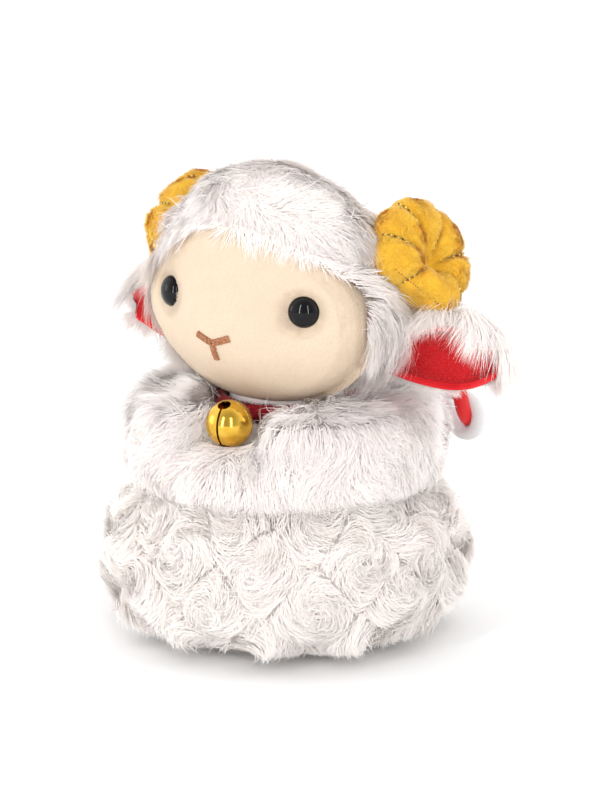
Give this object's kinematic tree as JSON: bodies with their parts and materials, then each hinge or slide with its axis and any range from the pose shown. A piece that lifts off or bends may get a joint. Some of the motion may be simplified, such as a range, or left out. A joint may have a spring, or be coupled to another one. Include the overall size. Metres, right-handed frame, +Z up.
{
  "type": "plush sheep",
  "caption": "Stuffed sheep of two stacked fur rolls and a head, with curled horns, folded ears, a collar bell and a twisted cord bow.",
  "frame": {"origin": "middle of the bounding box on the surface that the sheep stands on", "axes": "+Z up, the face looks along -Y, the sheep's own left side is +X"},
  "size_m": [0.1436, 0.1187, 0.1535],
  "materials": {
    "long_fur": "straight long pile",
    "curly_fur": "curly pile in rosettes",
    "face_velour": "short dense pile",
    "horn_velour": "short crushed pile",
    "ear_velour": "short pile",
    "collar_velour": "fuzzy band",
    "stuffing": "loose fibre fill",
    "black_plastic": "polished dome",
    "white_plastic": "moulded",
    "brown_thread": "satin stitch",
    "red_thread": "doubled sewing thread",
    "gold_brass": "polished plating",
    "steel": "plain ball",
    "bow_cord": "twisted smooth cord, red and white"
  },
  "bodies": {
    "root": {"lower_body_cover": "curly_fur", "base_panel": "curly_fur", "lower_body_stuffing": "stuffing", "upper_body_cover": "long_fur", "upper_body_stuffing": "stuffing", "head_cover": "long_fur", "face_panel": "face_velour", "head_stuffing": "stuffing", "left_eye": "black_plastic", "right_eye": "black_plastic", "left_eye_washer": "white_plastic", "right_eye_washer": "white_plastic", "nose_left_stitches": "brown_thread", "nose_right_stitches": "brown_thread", "nose_lower_stitches": "brown_thread", "left_horn_cover": "horn_velour", "right_horn_cover": "horn_velour", "left_horn_stuffing": "stuffing", "right_horn_stuffing": "stuffing", "collar": "collar_velour", "bell_staple": "red_thread", "left_bow_cord": "bow_cord", "right_bow_cord": "bow_cord", "bow_knot": "bow_cord"},
    "left_ear": {"left_ear_outer": "long_fur", "left_ear_lining": "ear_velour"},
    "right_ear": {"right_ear_outer": "long_fur", "right_ear_lining": "ear_velour"},
    "ring": {"bell_ring": "red_thread"},
    "bell": {"bell_front_shell": "gold_brass", "bell_back_shell": "gold_brass", "bell_loop": "gold_brass"},
    "pellet": {"bell_pellet": "steel"}
  },
  "joints": [
    {"name": "left_ear_flap", "type": "hinge", "parent": "root", "child": "left_ear", "pos_m": [0.0386, 0.005, 0.0945], "axis": [0, 1, 0], "range_deg": [-5, 25], "stiffness_Nm_per_rad": 0.02},
    {"name": "right_ear_flap", "type": "hinge", "parent": "root", "child": "right_ear", "pos_m": [-0.0386, 0.005, 0.0945], "axis": [0, -1, 0], "range_deg": [-5, 25], "stiffness_Nm_per_rad": 0.02},
    {"name": "bell_swing", "type": "hinge", "parent": "root", "child": "ring", "pos_m": [0.00343, -0.02441, 0.07505], "axis": [0, 0, 1], "range_deg": [-12, 12]},
    {"name": "bell_lift", "type": "hinge", "parent": "ring", "child": "bell", "pos_m": [0.0036, -0.0256, 0.07505], "axis": [-0.9903, -0.1392, 0], "range_deg": [0, 22]},
    {"name": "pellet_roll", "type": "hinge", "parent": "bell", "child": "pellet", "pos_m": [0.00511, -0.03634, 0.07505], "axis": [-0.1392, 0.9903, 0], "range_deg": [-60, 60]}
  ]
}
